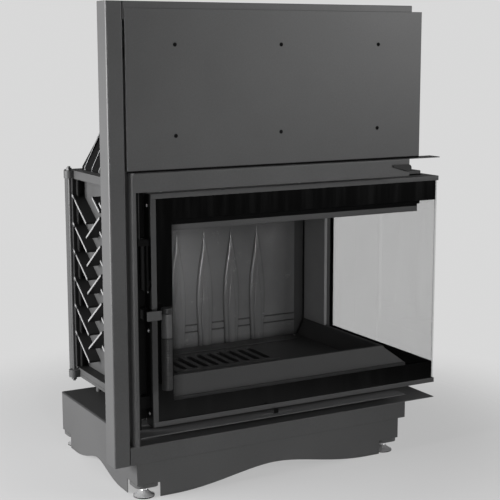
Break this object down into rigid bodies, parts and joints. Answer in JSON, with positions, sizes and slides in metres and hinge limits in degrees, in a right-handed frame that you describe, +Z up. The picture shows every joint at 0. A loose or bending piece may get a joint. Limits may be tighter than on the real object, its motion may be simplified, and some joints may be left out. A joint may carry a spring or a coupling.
{
  "type": "fireplace insert",
  "caption": "Corner fireplace insert with a lift-up L-shaped glass door on hidden counterweights, finned cast firebox, smoke hood and levelling feet.",
  "frame": {"origin": "on the floor, under the middle of the insert's outer box", "axes": "+Z up, -Y out of the front face towards the user, +X to the right as seen from the front, towards the glazed side"},
  "size_m": [0.932, 0.6316, 1.132],
  "materials": {
    "satin_paint": "satin charcoal stove paint on folded steel",
    "cast_paint": "matte charcoal stove paint on castings",
    "raw_casting": "dark cast surface, slightly grainy",
    "liner_board": "dark moulded liner with fine grain",
    "zinc_steel": "zinc plated steel",
    "bright_steel": "plain steel fasteners",
    "foot_chrome": "bright plated steel",
    "clear_glass": "clear ceramic glass with a black printed border",
    "rope_seal": "braided black glass fibre rope",
    "wire_rope": "stranded steel wire",
    "black_rubber": "black moulded rubber"
  },
  "bodies": {
    "casing": {"base_skirts": "satin_paint", "base_top_plate": "satin_paint", "foot_brackets": "satin_paint", "bottom_panel": "satin_paint", "bottom_flange_plate": "satin_paint", "side_outrigger": "satin_paint", "sill_ledge": "satin_paint", "left_column": "satin_paint", "upper_frame": "satin_paint", "rear_post": "satin_paint", "portal_frame": "satin_paint", "top_side_shelf": "satin_paint", "upper_cover": "satin_paint", "air_inlet_spigot": "satin_paint", "flue_collar": "satin_paint", "air_wash_strip": "satin_paint", "guide_rails": "satin_paint", "standoffs": "satin_paint", "tie_rods": "satin_paint", "firebox_floor_plate": "cast_paint", "firebox_left_wall": "cast_paint", "firebox_back_wall": "cast_paint", "firebox_right_wall": "cast_paint", "firebox_top_plate": "cast_paint", "door_lintel": "cast_paint", "smoke_hood": "cast_paint", "hearth_bed": "raw_casting", "log_retainer": "raw_casting", "back_liner": "liner_board", "side_liners": "liner_board", "deflector_plate": "liner_board", "sheave_hangers": "zinc_steel", "ash_pan": "zinc_steel", "cover_screws": "bright_steel", "sheave_cable_bends": "wire_rope", "band_buffer": "black_rubber"},
    "door": {"door_top_rail": "satin_paint", "door_bottom_rail": "satin_paint", "door_left_stile": "satin_paint", "door_rear_stile": "satin_paint", "front_glass": "clear_glass", "side_glass": "clear_glass", "door_seal": "rope_seal", "handle_bar": "satin_paint", "handle_bracket": "satin_paint", "door_screws": "bright_steel", "roller_carriages": "satin_paint", "door_side_cables": "wire_rope"},
    "counterweights": {"counterweights": "zinc_steel", "weight_side_cables": "wire_rope"},
    "left_sheave": {"left_sheave": "zinc_steel"},
    "right_sheave": {"right_sheave": "zinc_steel"},
    "left_roller": {"left_roller": "zinc_steel"},
    "right_roller": {"right_roller": "zinc_steel"},
    "air_slide": {"air_slide": "satin_paint"},
    "grate": {"grate": "raw_casting"},
    "foot_front_left": {"foot_front_left": "foot_chrome"},
    "foot_front_right": {"foot_front_right": "foot_chrome"},
    "foot_back_left": {"foot_back_left": "foot_chrome"},
    "foot_back_right": {"foot_back_right": "foot_chrome"}
  },
  "joints": [
    {"name": "door_lift", "type": "slide", "parent": "casing", "child": "door", "axis": [0, 0, 1], "range_m": [0, 0.37], "deforming": ["door_side_cables"]},
    {"name": "counterweight_travel", "type": "slide", "parent": "casing", "child": "counterweights", "axis": [0, 0, 1], "range_m": [-0.37, 0], "deforming": ["weight_side_cables"]},
    {"name": "left_sheave_turn", "type": "hinge", "parent": "casing", "child": "left_sheave", "pos_m": [-0.41525, -0.28225, 1.045], "axis": [0, 1, 0], "range_deg": [-690, 0]},
    {"name": "right_sheave_turn", "type": "hinge", "parent": "casing", "child": "right_sheave", "pos_m": [0.423, 0.2735, 1.045], "axis": [1, 0, 0], "range_deg": [-965, 0]},
    {"name": "left_roller_turn", "type": "hinge", "parent": "door", "child": "left_roller", "pos_m": [-0.384, -0.24375, 0.585], "axis": [1, 0, 0], "range_deg": [0, 2200]},
    {"name": "right_roller_turn", "type": "hinge", "parent": "door", "child": "right_roller", "pos_m": [0.445, 0.26175, 0.585], "axis": [0, 1, 0], "range_deg": [0, 2200]},
    {"name": "air_control", "type": "slide", "parent": "casing", "child": "air_slide", "axis": [1, 0, 0], "range_m": [-0.035, 0.035]},
    {"name": "grate_lift", "type": "slide", "parent": "casing", "child": "grate", "axis": [0, 0, 1], "range_m": [0, 0.06]},
    {"name": "foot_front_left_height", "type": "slide", "parent": "casing", "child": "foot_front_left", "axis": [0, 0, 1], "range_m": [-0.03, 0]},
    {"name": "foot_front_right_height", "type": "slide", "parent": "casing", "child": "foot_front_right", "axis": [0, 0, 1], "range_m": [-0.03, 0]},
    {"name": "foot_back_left_height", "type": "slide", "parent": "casing", "child": "foot_back_left", "axis": [0, 0, 1], "range_m": [-0.03, 0]},
    {"name": "foot_back_right_height", "type": "slide", "parent": "casing", "child": "foot_back_right", "axis": [0, 0, 1], "range_m": [-0.03, 0]}
  ],
  "couplings": [
    {"joint": "counterweight_travel", "follows": "door_lift", "ratio": -1},
    {"joint": "left_sheave_turn", "follows": "door_lift", "rad_per_m": -32},
    {"joint": "right_sheave_turn", "follows": "door_lift", "rad_per_m": -44.944},
    {"joint": "left_roller_turn", "follows": "door_lift", "rad_per_m": 103.09},
    {"joint": "right_roller_turn", "follows": "door_lift", "rad_per_m": 103.09}
  ]
}
